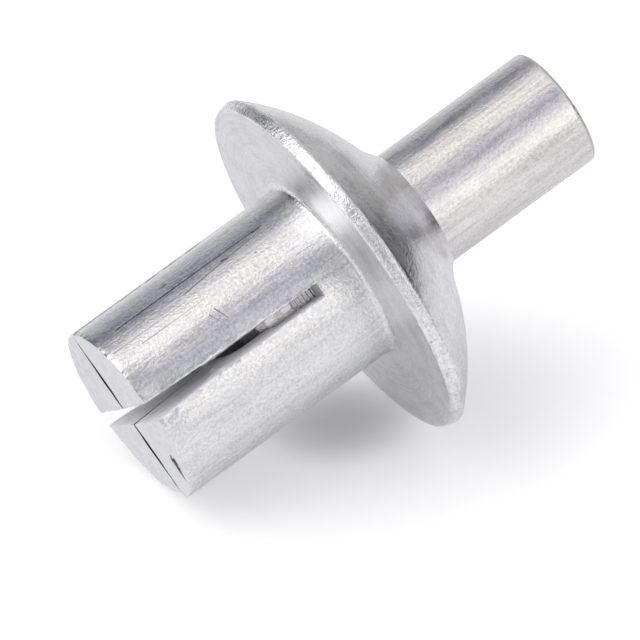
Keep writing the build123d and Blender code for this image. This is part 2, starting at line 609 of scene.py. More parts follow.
def settle(piece: bpy.types.Object) -> None:
    """Turns a piece's modifiers into plain mesh.

    Args:
        piece: the piece, which is changed.
    """
    bpy.context.view_layer.update()
    evaluated = piece.evaluated_get(bpy.context.evaluated_depsgraph_get())
    plain = bpy.data.meshes.new_from_object(evaluated)
    piece.modifiers.clear()
    piece.data = plain
    plain.name = piece.name


class SlotKind(Enum):
    """The two slots that split the shank."""

    OPEN = "sawn wide"
    SLIT = "squeezed shut"


@dataclass(frozen=True)
class Station:
    """Full widths of a slot at one height, in mm."""

    height: float
    throat_radius: float          # where the slot starts to widen, on the way out
    throat_gap: float
    surface_gap: float


@dataclass(frozen=True)
class ShankSlot:
    """A slot right across the shank."""

    kind: SlotKind
    root_height: float
    stations: tuple[Station, ...]
    cells: int                    # faces across the gap
    surface_radius: float         # the shank's
    finish: AluminiumFinish       # of its walls
    tip_spread: float = 0.0       # mm that it opens by at the shank's tip, half-way out
    chipping: float = 0.0         # mm that chips along its edges widen it by

    def half_gap(self, reach: float, height: float) -> float:
        """Half the slot's width.

        Args:
            reach: distance from the axis along the slot.
            height: height above the bearing face.

        Returns:
            The half width in mm.
        """
        tip = self.stations[-1].height
        height = min(max(height, self.stations[0].height), tip)
        low, high = next((a, b) for a, b in zip(self.stations, self.stations[1:]) if height <= b.height)
        t = (height - low.height) / (high.height - low.height)
        throat_radius = mix(low.throat_radius, high.throat_radius, t)
        throat = mix(low.throat_gap, high.throat_gap, t)
        surface = mix(low.surface_gap, high.surface_gap, t)
        flare = min(max((reach - throat_radius) / (self.surface_radius - throat_radius), 0.0), 1.0)
        spread = self.tip_spread * smooth_step(tip - 0.3, tip, height) * hill(1.3, 1.5, reach)
        # The noise is stretched along the reach, so that a chip cuts straight into the wall.
        chipped = smooth_step(0.05, 0.4, Waves(1.0, 0.32, 3.1).at(Vector((reach * 0.3, 0.0, height))))
        return 0.5 * (mix(throat, surface, flare) + spread
                      + self.chipping * chipped * smooth_step(2.6, 3.2, reach))

    def half_angle(self, radius: float, height: float) -> float:
        """Half the angle that the slot takes out of a circle about the axis.

        Args:
            radius: the circle's.
            height: height above the bearing face.

        Returns:
            The half angle in radians.
        """
        half = self.half_gap(radius, height)
        half = self.half_gap(math.sqrt(max(radius * radius - half * half, 0.0)), height)
        return math.asin(min(half / radius, 0.98))


@dataclass(frozen=True)
class BentEdge:
    """A prong's edge beside the slit, which the squeeze bent in or out near the shank's tip."""

    start: float                  # degrees of azimuth, where the bend starts
    whole: float                  # where it is whole
    end: float                    # where it ends, in the slit
    foot: float                   # height in mm where it starts
    lift: float                   # share of the radius at the tip, less than 0 for inwards

    def growth(self, azimuth: float, height: float, tip: float) -> float:
        """How far the bend lifts a place on the shank's surface.

        Args:
            azimuth: the place's, in degrees.
            height: its height in mm.
            tip: height of the shank's tip.

        Returns:
            The lift as a share of the radius.
        """
        if not min(self.start, self.end) < azimuth <= max(self.start, self.end):
            return 0.0
        risen = smooth_step(self.foot, tip, height)
        return self.lift * risen * smooth_step(self.start, self.whole, azimuth)


@dataclass(frozen=True)
class Wear:
    """What drawing, heading, sawing, squeezing and handling did to the body, in mm."""

    drawn: tuple[Waves, ...] = (Waves(0.010, 0.8, 1.7), Waves(0.004, 0.3, 4.4))
    drawn_depth: float = 0.4      # how far below the surface they and the burr reach
    burr: Waves = Waves(0.10, 0.13, 7.3)
    burr_width: float = 0.16
    burr_foot: float = 1.5        # height above which the saw threw it up
    bent_edges: tuple[BentEdge, ...] = (BentEdge(-12.0, -44.0, -46.0, 6.6, -0.06),
                                        BentEdge(-78.0, -48.0, -44.0, 7.0, 0.04))
    knock: float = 0.18           # how far one prong was knocked round towards the open slot
    knock_foot: float = 5.5
    skew: float = 0.15            # how much lower the end is on its low side
    skew_side: Direction = Direction(-39.0, 0.0)
    skew_foot: float = 7.0
    end_waves: Waves = Waves(0.012, 0.5, 2.2)
    end_depth: float = 0.12       # how far below the end face they reach
    crumbs: Waves = Waves(0.8, 0.16, 5.9)
    crumbs_large: Waves = Waves(0.6, 0.5, 8.8)
    crumbled_in: float = 0.13     # how far the end's edge crumbled away inwards
    crumbled_down: float = 0.04
    crumbled_width: float = 0.15
    head_outline: Waves = Waves(0.018, 3.5, 2.6)
    edge_lumps: Waves = Waves(0.012, 0.35, 6.1)
    rim_waves: Waves = Waves(0.03, 0.4, 1.9)
    dimples: Waves = Waves(0.012, 1.3, 3.3)
    dimples_small: Waves = Waves(0.004, 0.45, 9.2)


@dataclass
class RivetBody:
    """The cold-headed body: domed head that flares to its bore, and shank split into four prongs."""

    shank_radius: float
    shank_length: float
    head_radius: float
    lip_height: float
    bore_radius: float
    neck_fillet: float = 0.2
    rim_height: float = 0.44
    rim_draft: float = 0.08
    rim_round: float = 0.09
    rim_bend: float = 0.10        # how far in the rim's bend into the dome reaches
    dome_radius: float = 8.58
    dome_centre: float = 5.33
    flare_radius: float = 3.2
    lip_wall: float = 0.1
    mouth_chamfer: float = 0.04
    bore_depth: float = 5.0
    bore_corner: float = 0.8
    flat_end: tuple[float, float] = (4.9, 5.3)       # the shank's heights beside the bore's flat end
    core_gap: float = 0.004       # what keeps the prongs' inner corners apart
    slot_root: float = 1.4
    window_end: float = 3.0       # where the open slot starts to close, beside the pin
    pinch: tuple[float, float] = (3.4, 5.2)          # where it is pinched to a groove
    mouth_start: float = 5.7
    slit_root: float = 1.9
    first_slot_angle: float = 45.0
    end_centre: float = 1.75      # radius of the middle of each prong's end
    prong_cells: int = 66
    wall_cells: int = 14
    unshaded_cells: int = 2          # of the slit's walls, which take the light sheared finish instead of the painted shade
    end_rings: int = 6
    wear: Wear = Wear()

    def __post_init__(self) -> None:
        """Lays out the slots, the rows along the axis and the columns round it."""
        throat = 1.4
        opened = ShankSlot(SlotKind.OPEN, self.slot_root, (
            Station(self.slot_root, throat, 0.37, 0.50), Station(self.window_end, throat, 0.37, 0.50),
            Station(self.pinch[0], throat, 0.06, 0.55), Station(self.pinch[1], throat, 0.06, 0.55),
            Station(self.mouth_start, throat, 0.36, 0.55), Station(self.shank_length, 0.4, 0.62, 0.69),
        ), 6, self.shank_radius, SAWN_FACE)
        slit = ShankSlot(SlotKind.SLIT, self.slit_root, (
            Station(self.slit_root, throat, 0.05, 0.08), Station(self.shank_length, throat, 0.05, 0.08),
        ), 2, self.shank_radius, SLIT_FACE_PAINTED_SHADE, tip_spread=0.24, chipping=0.09)
        self.slots = [slit, opened, slit, opened]
        self.heights = self.shank_heights()
        self.root_row = len(self.heights) - 1
        self.columns = self.layout_columns()

    def shank_heights(self) -> list[float]:
        """Lays out the shank's rows.

        Returns:
            Their heights, from the tip down to the root of the open slot.
        """
        rows = [self.shank_length, self.shank_length - 0.05]
        for low, count in ((self.mouth_start, 22), (self.pinch[1], 5), (self.pinch[0], 18),
                           (self.window_end, 4), (self.slit_root, 10), (self.slot_root + 0.05, 4),
                           (self.slot_root, 1)):
            rows += steps(rows[-1], low, count)
        return rows

    def layout_columns(self) -> list[Column]:
        """Lays out the columns round the axis.

        Returns:
            Their names in order: inside each gap, then across the prong after it.
        """
        columns = []
        for index, slot in enumerate(self.slots):
            columns += [("gap", index, cell) for cell in range(1, slot.cells)]
            columns += [("prong", index, cell) for cell in range(self.prong_cells + 1)]
        return columns

    def slot_angle(self, index: float) -> float:
        """Angle of a slot about the axis in radians, or of a prong's middle for a half more."""
        return math.radians(self.first_slot_angle + 90.0 * index)

    def root_of(self, slot: ShankSlot) -> int:
        """Number of the row that a slot starts at."""
        return next(row for row, z in enumerate(self.heights) if z <= slot.root_height + SAME_HEIGHT)

    def ring_place(self, column: Column, radius: float, height: float) -> Vector:
        """Finds a column's place at a radius and height.

        Args:
            column: the column.
            radius: distance from the axis.
            height: height above the bearing face.

        Returns:
            The place in mm.
        """
        kind, index, cell = column
        start, half = self.slot_angle(index), self.slots[index].half_angle(radius, height)
        if kind == "gap":
            return polar(start + half * (2.0 * cell / self.slots[index].cells - 1.0), radius, height)
        end = start + math.pi / 2.0 - self.slots[(index + 1) % 4].half_angle(radius, height)
        return polar(mix(start + half, end, share_along(cell, self.prong_cells, 0.012)), radius, height)

    def core_radius(self, height: float) -> float:
        """Distance from the axis to a prong's inner corner, above the bore."""
        return math.hypot(*(slot.half_gap(0.0, height) for slot in self.slots[:2])) + self.core_gap

    def inner_row(self, row: int) -> tuple[float, float]:
        """Follows the bore's wall, its rounded corner and flat end, and the core above it.

        Args:
            row: one of the shank's rows.

        Returns:
            Radius and height of that row's inner points.
        """
        height = self.heights[row]
        corner_foot = self.bore_depth - self.bore_corner
        floor_low, floor_high = self.flat_end
        if height <= corner_foot:
            return self.bore_radius, height
        if height <= floor_low:
            turn = 0.5 * math.pi * (height - corner_foot) / (floor_low - corner_foot)
            return (self.bore_radius - self.bore_corner * (1.0 - math.cos(turn)),
                    corner_foot + self.bore_corner * math.sin(turn))
        if height <= floor_high:
            t = (height - floor_low) / (floor_high - floor_low)
            corner_end = self.bore_radius - self.bore_corner
            return mix(corner_end, self.core_radius(self.bore_depth), t), self.bore_depth
        t = (height - floor_high) / (self.shank_length - floor_high)
        level = mix(self.bore_depth, self.shank_length, t)
        return self.core_radius(level), level

    def neck_rows(self) -> list[OutlineRow]:
        """Outline from the slot's root down the shank, round the fillet and out along the bearing face.

        Returns:
            The outline, row by row.
        """
        radius, fillet = self.shank_radius, self.neck_fillet
        rows = [(radius, z, SHANK) for z in steps(self.slot_root, fillet, 7)]
        rows += [(radius + fillet * (1.0 - math.cos(a)), fillet * (1.0 - math.sin(a)), SHANK)
                 for a in steps(0.0, math.pi / 2.0, 5)]
        face_end = self.head_radius - self.rim_draft - self.rim_round
        rows += [(r, 0.0, BEARING_FACE) for r in steps(radius + fillet, face_end, 20)]
        return rows

    def rim_rows(self) -> list[OutlineRow]:
        """Outline round the bearing face's edge, down the drafted rim and round its bend into the dome.

        Returns:
            The outline, row by row.
        """
        face_radius, rounding = self.head_radius - self.rim_draft, self.rim_round
        # The rounding stops short of a quarter turn, where the rim's draft takes over.
        rows = [(face_radius - rounding * (1.0 - math.sin(a)), -rounding * (1.0 - math.cos(a)), RIM)
                for a in steps(0.0, math.pi / 2.0 - 0.17, 4)]
        bend_start, dome_foot = 0.08 - self.rim_height, self.head_radius - self.rim_bend
        rows += [(mix(face_radius, self.head_radius, t), mix(-0.08, bend_start, t), RIM)
                 for t in steps(0.0, 1.0, 5)]
        corners = ((self.head_radius, bend_start), (self.head_radius, -self.rim_height),
                   (dome_foot, self.dome_height(dome_foot)))
        rows += [(*(mix(mix(a, b, t), mix(b, c, t), t) for a, b, c in zip(*corners)),
                  RIM if t < 0.8 else DOME) for t in steps(0.0, 1.0, 6)]
        return rows

    def dome_rows(self) -> list[OutlineRow]:
        """Outline over the dome and its flare, round the lip and up the bore to the slot's root.

        Returns:
            The outline, row by row.
        """
        top, mouth = -self.lip_height, self.mouth_chamfer
        rows = [(r, self.dome_height(r), DOME)
                for r in steps(self.head_radius - self.rim_bend, self.flare_radius, 26)]
        rows += [(*place, DOME) for place in self.flare(16)]
        rows += [(self.bore_radius + mouth, top, RIM), (self.bore_radius, top + mouth, CUT_FACE)]
        rows += [(self.bore_radius, z, CUT_FACE) for z in steps(top + mouth, self.slot_root, 14)]
        return rows

    def dome_height(self, radius: float) -> float:
        """Height of the dome's surface at a radius."""
        return self.dome_centre - math.sqrt(self.dome_radius ** 2 - radius ** 2)

    def flare(self, count: int) -> list[tuple[float, float]]:
        """The arc by which the dome runs out round the bore, as it does where metal is drawn up a punch.

        Args:
            count: how many points.

        Returns:
            Radius and height of each point after the dome, up to and with the mouth.
        """
        foot = Vector((self.flare_radius, self.dome_height(self.flare_radius)))
        mouth = Vector((self.bore_radius + self.lip_wall, -self.lip_height))
        onward = -Vector((self.dome_height(0.0) + self.dome_radius - foot.y, foot.x)).normalized()
        square = Vector((-onward.y, onward.x))
        chord = mouth - foot
        centre = foot + square * (chord.length_squared / (2.0 * chord.dot(square)))
        turn = (foot - centre).angle_signed(mouth - centre)
        return [tuple(centre + Matrix.Rotation(-t, 2) @ (foot - centre)) for t in steps(0.0, turn, count)]

    def wall_place(self, index: int, side: int, outer: Vector, inner: Vector, t: float) -> Vector:
        """Finds a place on a slot's wall.

        Args:
            index: which slot, counted round the axis.
            side: 1 for the wall after the gap, -1 for the one before it.
            outer: the wall's edge on the shank's surface.
            inner: its edge on the bore or core.
            t: how far in from the outer edge.

        Returns:
            The place in mm, with the tear marks of the cut.
        """
        along = polar(self.slot_angle(index), 1.0, 0.0)
        across = Vector((-along.y, along.x, 0.0))
        reach, height = mix(outer.dot(along), inner.dot(along), t), mix(outer.z, inner.z, t)
        half = self.slots[index].half_gap(reach, height)
        if self.slots[index].kind is SlotKind.OPEN:
            # Chips and torn ridges stand in from the wall, most of all where the slot starts to close.
            most = 0.10 + 0.55 * hill(5.5, 0.6, height)
            inside = smooth_step(0.0, 0.08, t) * smooth_step(1.0, 0.92, t)
            torn = Waves(2.0, 0.28, 4.7 + index).at(Vector((reach, side * 3.0, height)))
            half *= 1.0 - most * inside * min(max(torn, 0.0), 1.0)
        return along * reach + across * (side * half) + Vector((0.0, 0.0, height))

    def build(self) -> bpy.types.Object:
        """Builds the body.

        Returns:
            The finished object.
        """
        skin = Skin("rivet_body", [SHANK, BEARING_FACE, RIM, DOME, CUT_FACE, SAWN_FACE, SLIT_FACE_PAINTED_SHADE])
        self.build_shank(skin)
        for index, slot in enumerate(self.slots):
            self.build_walls(skin, index, slot)
            self.build_slot_floor(skin, index, slot)
        self.build_head(skin)
        for index in range(4):
            self.build_end_face(skin, index)
        for vertex in skin.points.values():
            vertex.co = self.worn(vertex.co)
        return skin.finished(edge_break=0.03, sharp_degrees=34.0)

    def build_shank(self, skin: Skin) -> None:
        """Spans the shank's surface and the bore's wall, with gaps where the slots are cut.

        Args:
            skin: the skin that they belong to.
        """
        for row, height in enumerate(self.heights):
            inner_radius, inner_height = self.inner_row(row)
            for column in self.columns:
                if column[0] == "gap" and row < self.root_of(self.slots[column[1]]):
                    continue
                skin.point(("outer", column, row), self.ring_place(column, self.shank_radius, height))
                skin.point(("inner", column, row), self.ring_place(column, inner_radius, inner_height))
        for left, right in zip(self.columns, self.columns[1:] + self.columns[:1]):
            gap = next((index for kind, index, _ in (left, right) if kind == "gap"), None)
            top_row = 0 if gap is None else self.root_of(self.slots[gap])
            for row in range(top_row, self.root_row):
                for surface, finish in (("outer", SHANK), ("inner", CUT_FACE)):
                    skin.face([(surface, left, row), (surface, right, row),
                               (surface, right, row + 1), (surface, left, row + 1)], finish)

    def wall_key(self, index: int, side: int, cell: int, row: int) -> Key:
        """Names a point on a slot's wall, which shares its edges with the shank and the bore.

        Args:
            index: which slot, counted round the axis.
            side: 1 for the wall after the gap, -1 for the one before it.
            cell: number of the point, from the outer edge inwards.
            row: one of the shank's rows.

        Returns:
            The point's name.
        """
        column = ("prong", index, 0) if side > 0 else ("prong", (index - 1) % 4, self.prong_cells)
        if cell in (0, self.wall_cells):
            return ("inner" if cell else "outer", column, row)
        return ("wall", index, side, cell, row)

    def build_walls(self, skin: Skin, index: int, slot: ShankSlot) -> None:
        """Spans both walls of a slot.

        Args:
            skin: the skin that they belong to.
            index: which slot, counted round the axis.
            slot: the slot.
        """
        root = self.root_of(slot)
        for side in (1, -1):
            lines = [[self.wall_key(index, side, cell, row) for cell in range(self.wall_cells + 1)]
                     for row in range(root + 1)]
            for line in lines:
                outer, inner = skin.points[line[0]].co, skin.points[line[-1]].co
                for cell, key in enumerate(line[1:-1], start=1):
                    t = share_along(cell, self.wall_cells, 0.04)
                    skin.point(key, self.wall_place(index, side, outer, inner, t))
            clean = 0
            if slot.kind is SlotKind.SLIT:
                # The slit's outer edge was squeezed out into the light, so it takes the light sheared
                # finish, not the painted shade, and stays keen.
                clean = self.unshaded_cells
                skin.keep_keen(line[0] for line in lines)
            for line, lower in zip(lines, lines[1:]):
                skin.strip(line[:clean + 1], lower[:clean + 1], CUT_FACE)
                skin.strip(line[clean:], lower[clean:], slot.finish)

    def floor_line(self, index: int, slot: ShankSlot, cell: int) -> list[Key]:
        """Names a line of points across the floor at a slot's root.

        Args:
            index: which slot, counted round the axis.
            slot: the slot.
            cell: number of the line, from the shank's surface inwards.

        Returns:
            The points' names, from one wall to the other.
        """
        root, spots = self.root_of(slot), range(1, slot.cells)
        first, last = (self.wall_key(index, side, cell, root) for side in (-1, 1))
        if cell in (0, self.wall_cells):
            surface = "inner" if cell else "outer"
            return [first, *((surface, ("gap", index, spot), root) for spot in spots), last]
        return [first, *(("floor", index, spot, cell) for spot in spots), last]

    def build_slot_floor(self, skin: Skin, index: int, slot: ShankSlot) -> None:
        """Spans the floor at a slot's root, between its two walls.

        Args:
            skin: the skin that it belongs to.
            index: which slot, counted round the axis.
            slot: the slot.
        """
        lines = [self.floor_line(index, slot, cell) for cell in range(self.wall_cells + 1)]
        for line in lines[1:-1]:
            before, after = skin.points[line[0]].co, skin.points[line[-1]].co
            for spot in range(1, slot.cells):
                skin.point(line[spot], before.lerp(after, spot / slot.cells))
        for line, inner in zip(lines, lines[1:]):
            skin.strip(line, inner, CUT_FACE)

    def head_rings(self, count: int) -> list[list[Key]]:
        """Names the closed rings of points round the head.

        Args:
            count: how many rings come after the first.

        Returns:
            The names, ring by ring from the shank's surface round to the bore. The shank has the
            points of the first ring and the last one too.
        """
        columns = [*self.columns, self.columns[0]]
        rings = [[("head", column, number) for column in columns] for number in range(count + 1)]
        for number, surface in ((0, "outer"), (count, "inner")):
            rings[number] = [(surface, column, self.root_row) for column in columns]
        return rings

    def build_head(self, skin: Skin) -> None:
        """Spans everything below the open slot's root, from the shank's surface round to the bore.

        Args:
            skin: the skin that it belongs to.
        """
        rows = [*self.neck_rows(), *self.rim_rows(), *self.dome_rows()]
        rings = self.head_rings(len(rows))
        for (radius, height, finish), before, ring in zip(rows, rings, rings[1:]):
            for key, column in zip(ring, self.columns):
                skin.point(key, self.ring_place(column, radius, height))
            skin.strip(before, ring, finish)

    def build_end_face(self, skin: Skin, index: int) -> None:
        """Closes a prong's end with rings that shrink to a point.

        Args:
            skin: the skin that it belongs to.
            index: the slot before the prong, counted round the axis.
        """
        cells = range(self.prong_cells + 1)
        edge = [("outer", ("prong", index, cell), 0) for cell in cells]
        edge += [self.wall_key((index + 1) % 4, -1, cell, 0) for cell in range(1, self.wall_cells)]
        edge += [("inner", ("prong", index, cell), 0) for cell in reversed(cells)]
        edge += [self.wall_key(index, 1, cell, 0) for cell in range(self.wall_cells - 1, 0, -1)]
        places = [skin.points[key].co.copy() for key in edge]
        centre = polar(self.slot_angle(index + 0.5), self.end_centre, self.shank_length)
        # The first ring lies close to the edge, to hold the broken edge's shape.
        shares = [0.03, *(number / self.end_rings for number in range(1, self.end_rings))]
        for number, share in enumerate(shares):
            inset = [("end", index, number, spot) for spot in range(len(places))]
            for key, place in zip(inset, places):
                skin.point(key, place.lerp(centre, share))
            skin.strip(edge + edge[:1], inset + inset[:1], CUT_FACE)
            edge = inset
        skin.point(("end", index), centre)
        skin.fan(edge + edge[:1], ("end", index), CUT_FACE)

    def edge_distance(self, place: Vector, kind: SlotKind) -> float:
        """Measures how far a place on the shank's surface lies from the nearest slot of a kind.

        Args:
            place: the place in mm.
            kind: the kind of slot.

        Returns:
            The distance in mm, 0 inside a slot.
        """
        azimuth = math.atan2(place.y, place.x)
        distances = []
        for index, slot in enumerate(self.slots):
            if slot.kind is kind:
                turn = (azimuth - self.slot_angle(index) + math.pi) % (2.0 * math.pi) - math.pi
                half = slot.half_gap(self.shank_radius, place.z)
                distances.append(abs(turn) * self.shank_radius - half)
        return max(min(distances), 0.0)

    def worn(self, place: Vector) -> Vector:
        """Moves a point as heading, sawing, squeezing and handling have.

        Args:
            place: where the clean outline has it, in mm.

        Returns:
            Where it is, in mm.
        """
        radius = math.hypot(place.x, place.y)
        if place.z > self.neck_fillet and radius < self.shank_radius + 0.01:
            return self.worn_shank(place, radius)
        if radius > self.shank_radius + self.neck_fillet:
            return self.worn_head(place, radius)
        return place

    def worn_shank(self, place: Vector, radius: float) -> Vector:
        """Moves a point of the shank: drawn waves, burrs, bent prongs and a skewed end.

        Args:
            place: where the clean outline has it, in mm.
            radius: its distance from the axis.

        Returns:
            Where it is, in mm.
        """
        wear, tip = self.wear, self.shank_length
        azimuth = math.degrees(math.atan2(place.y, place.x))
        out = radius / self.shank_radius
        grow = 1.0 + sum(edge.growth(azimuth, place.z, tip) for edge in wear.bent_edges) * out ** 2
        if radius > self.shank_radius - wear.drawn_depth:
            skin = smooth_step(self.shank_radius - wear.drawn_depth, self.shank_radius, radius)
            stretched = Vector((place.x, place.y, place.z * 0.25))
            lift = wear.drawn[0].at(stretched) + wear.drawn[1].at(place)
            if place.z > wear.burr_foot:
                beside = 1.0 - smooth_step(0.0, wear.burr_width, self.edge_distance(place, SlotKind.OPEN))
                lift += beside * max(wear.burr.at(place), 0.0)
            grow += skin * lift / radius
        moved = Vector((place.x * grow, place.y * grow, place.z))
        if abs(azimuth) > 135.0:
            knock = wear.knock * smooth_step(wear.knock_foot, tip, place.z) * out
            moved += polar(math.pi / 4.0, knock, 0.0)
        to_low_side = place.dot(wear.skew_side.vector()) / self.shank_radius
        moved.z -= smooth_step(wear.skew_foot, tip, place.z) * wear.skew * (1.0 + to_low_side) / 2.0
        near_end = smooth_step(tip - wear.end_depth, tip, place.z)
        moved.z -= near_end * wear.end_waves.above(place)
        near_edge = smooth_step(self.shank_radius - wear.crumbled_width, self.shank_radius, radius)
        # The edge crumbled away all round, and most in two places.
        worst = max(hill(-72.0, 50.0, azimuth), hill(190.0, 55.0, azimuth % 360.0))
        crumbled = near_end * near_edge * mix(0.35, 1.0, worst)
        if crumbled > 0.0:
            crumbled *= 0.5 + wear.crumbs.at(place) + max(wear.crumbs_large.at(place), 0.0)
            moved -= Vector((place.x, place.y, 0.0)) * (wear.crumbled_in * crumbled / radius)
            moved.z -= wear.crumbled_down * crumbled
        return moved

    def worn_head(self, place: Vector, radius: float) -> Vector:
        """Moves a point of the head: a slightly uneven outline, a lumpy rim and a dimpled dome.

        Args:
            place: where the clean outline has it, in mm.
            radius: its distance from the axis.

        Returns:
            Where it is, in mm.
        """
        if place.z > -0.001 and radius < self.head_radius - 0.3:
            return place
        wear, level = self.wear, Vector((place.x, place.y, 0.0))
        outer = smooth_step(self.shank_radius + 0.6, self.head_radius, radius)
        shrink = outer * wear.head_outline.above(level) + outer ** 8 * wear.edge_lumps.above(place)
        moved = place - level * (shrink / radius)
        if place.z < -self.rim_height - 0.01:
            flat = self.shank_radius + self.neck_fillet
            dimpled = smooth_step(flat, flat + 0.5, radius)
            moved.z += dimpled * (wear.dimples.above(level) + wear.dimples_small.at(level))
        elif place.z < -0.1:
            moved.z += wear.rim_waves.at(level) * smooth_step(-0.25, -self.rim_height, place.z)
        return moved


@dataclass
class DrivePin:
    """The headless drive pin: drawn wire, with a led-in nose and rolled grip rings."""

    radius: float
    bottom: float
    top: float
    end_round: float = 0.12
    pilot_radius: float = 2.02
    pilot_length: float = 0.95
    nose_radius: float = 1.78
    nose_length: float = 0.3
    shoulder_length: float = 0.12
    ring_count: int = 6
    ring_pitch: float = 0.15
    ring_depth: float = 0.05
    first_ring: float = 1.42
    face_rings: tuple[float, ...] = (0.4, 0.8, 1.2, 1.6)
    cells: int = 160

    def outline(self) -> list[OutlineRow]:
        """Outline from the flat end up to the nose.

        Returns:
            The outline, row by row.
        """
        low, high, r, rounding = self.bottom, self.top, self.radius, self.end_round
        rows = [(x, low, PIN_END) for x in (*self.face_rings, r - rounding - 0.03, r - rounding)]
        rows += [(r - rounding * (1.0 - math.sin(a)), low + rounding * (1.0 - math.cos(a)), PIN_END)
                 for a in steps(0.0, math.pi / 2.0, 5)]
        rings_low = self.first_ring - self.ring_pitch / 2.0
        rings_high = rings_low + self.ring_count * self.ring_pitch
        pilot_foot, nose_foot = high - self.pilot_length, high - self.nose_length
        for start, end, count in ((rows[-1][1], rings_low, 60),
                                  (rings_low, rings_high, self.ring_count * 4),
                                  (rings_high, pilot_foot, 5)):
            rows += [(r, z, PIN_SIDE) for z in steps(start, end, count)]
        rows += [(self.pilot_radius, z, PIN_SIDE)
                 for z in steps(pilot_foot + self.shoulder_length, nose_foot, 6)]
        rows += [(mix(self.pilot_radius, self.nose_radius, t), mix(nose_foot, high, t), PIN_SIDE)
                 for t in steps(0.0, 1.0, 4)]
        rows += [(x, high, PIN_END) for x in reversed(self.face_rings)]
        return rows

    def build(self) -> bpy.types.Object:
        """Builds the pin.

        Returns:
            The finished object.
        """
        skin = Skin("drive_pin", [PIN_SIDE, PIN_END])
        rows = self.outline()
        rings = [[(row, cell) for cell in (*range(self.cells), 0)] for row in range(len(rows))]
        for row, (radius, height, finish) in enumerate(rows):
            for key in rings[row]:
                skin.point(key, polar(2.0 * math.pi * key[1] / self.cells, radius, height))
            if row:
                skin.strip(rings[row - 1], rings[row], finish)
        for ring, height in ((rings[0], self.bottom), (rings[-1], self.top)):
            pole = ("pole", height)
            skin.point(pole, Vector((0.0, 0.0, height)))
            skin.fan(ring, pole, PIN_END)
        pin = skin.finished(edge_break=0.02, sharp_degrees=60.0)
        self.roll_rings(pin)
        return pin

    def roll_rings(self, pin: bpy.types.Object) -> None:
        """Rolls the grip rings into the pin with a Geometry Nodes rule.

        Args:
            pin: the plain pin, which is changed.
        """
        tree = bpy.data.node_groups.new("rolled_rings", "GeometryNodeTree")
        node = partial(add_node, tree)
        sizes = {"First ring": self.first_ring * MM, "Ring pitch": self.ring_pitch * MM,
                 "Ring depth": self.ring_depth * MM, "Ring count": float(self.ring_count)}
        for way in ("INPUT", "OUTPUT"):
            tree.interface.new_socket("Geometry", in_out=way, socket_type="NodeSocketGeometry")
        sockets = {name: tree.interface.new_socket(name, in_out="INPUT", socket_type="NodeSocketFloat")
                   for name in sizes}
        given = node("NodeGroupInput").outputs
        x, y, run = node("ShaderNodeSeparateXYZ", {0: node("GeometryNodeInputPosition")}).outputs
        # Half a pitch each side of a ring's bottom, so the run over the rings is from 0 to their count.
        for operation, value in (("SUBTRACT", given["First ring"]), ("DIVIDE", given["Ring pitch"]),
                                 ("ADD", 0.5)):
            run = node(MATH, {0: run, 1: value}, operation=operation)
        above = node(MATH, {0: run, 1: 0.0}, operation="GREATER_THAN")
        below = node(MATH, {0: run, 1: given["Ring count"]}, operation="LESS_THAN")
        ringed = node(MATH, {0: above, 1: below}, operation="MULTIPLY")
        # Ping-pong is 0 on the crests between rings and 0.5 at the bottom of each.
        outward = node(MATH, {0: run, 1: 0.5}, operation="PINGPONG")
        for value in (-2.0, given["Ring depth"], ringed):
            outward = node(MATH, {0: outward, 1: value}, operation="MULTIPLY")
        flat = node("ShaderNodeCombineXYZ", {0: x, 1: y})
        radial = node(VECTOR_MATH, {0: flat}, operation="NORMALIZE")
        shift = node(VECTOR_MATH, {0: radial, "Scale": outward}, operation="SCALE")
        rolled = node("GeometryNodeSetPosition", {"Geometry": given["Geometry"], "Offset": shift})
        real = node("GeometryNodeRealizeInstances", {0: rolled})
        # The rings keep the drawn wire's finish; the two ends keep their own.
        dressed = node("GeometryNodeSetMaterial",
                       {"Geometry": real, "Selection": ringed, "Material": pin.data.materials[0]})
        node("NodeGroupOutput", {0: dressed})
        rule = pin.modifiers.new("rolled_rings", "NODES")
        rule.node_group = tree
        for name, value in sizes.items():
            rule[sockets[name].identifier] = value
        settle(pin)


# ---------------------------------------------------------------------------------------------
# Studio
# ---------------------------------------------------------------------------------------------


@dataclass(frozen=True)
class StudioCamera:
    """A long lens, rolled so that the rivet lies across the picture."""

    towards: Direction = Direction(-39.24, 12.467)
    roll: float = -126.064        # degrees
    distance: float = 250.0       # mm
    aim: tuple[float, float, float] = (-0.905, -0.677, 1.234)
    lens: float = 437.36          # mm

    def build(self) -> None:
        """Makes the scene's camera."""
        data = bpy.data.cameras.new("studio_camera")
        data.lens, data.sensor_width = self.lens, 36.0
        data.clip_start, data.clip_end = 0.01, 20.0
        camera = new_object("studio_camera", data)
        back = self.towards.vector()
        level = Vector((0.0, 0.0, 1.0)).cross(back).normalized()
        turn = math.radians(self.roll)
        right = level * math.cos(turn) + back.cross(level) * math.sin(turn)
        rotation = Matrix((right, back.cross(right), back)).transposed().to_4x4()
        place = (Vector(self.aim) + back * self.distance) * MM
        camera.matrix_world = Matrix.Translation(place) @ rotation
        bpy.context.scene.camera = camera


@dataclass(frozen=True)
class Softbox:
    """A square area lamp that faces the rivet."""

    towards: Direction
    distance: float               # metres
    side: float
    brightness: float             # radiance, where 1 renders white as white

    def build(self, centre: Vector) -> None:
        """Hangs the lamp.

        Args:
            centre: the point that it faces, in metres.
        """
        data = bpy.data.lights.new("key_softbox", "AREA")
        data.shape, data.size = "SQUARE", self.side
        data.energy = self.brightness * math.pi * self.side ** 2
        back = self.towards.vector()
        rotation = back.to_track_quat("Z", "Y").to_matrix().to_4x4()
        lamp = new_object("key_softbox", data)
        lamp.matrix_world = Matrix.Translation(centre + back * self.distance) @ rotation


@dataclass(frozen=True)
class Glow:
    """A soft patch of light on the room's walls."""

    towards: Direction
    reach: float                  # degrees from its middle to its edge
    radiance: float               # in its middle
    colour: str                   # sRGB hex


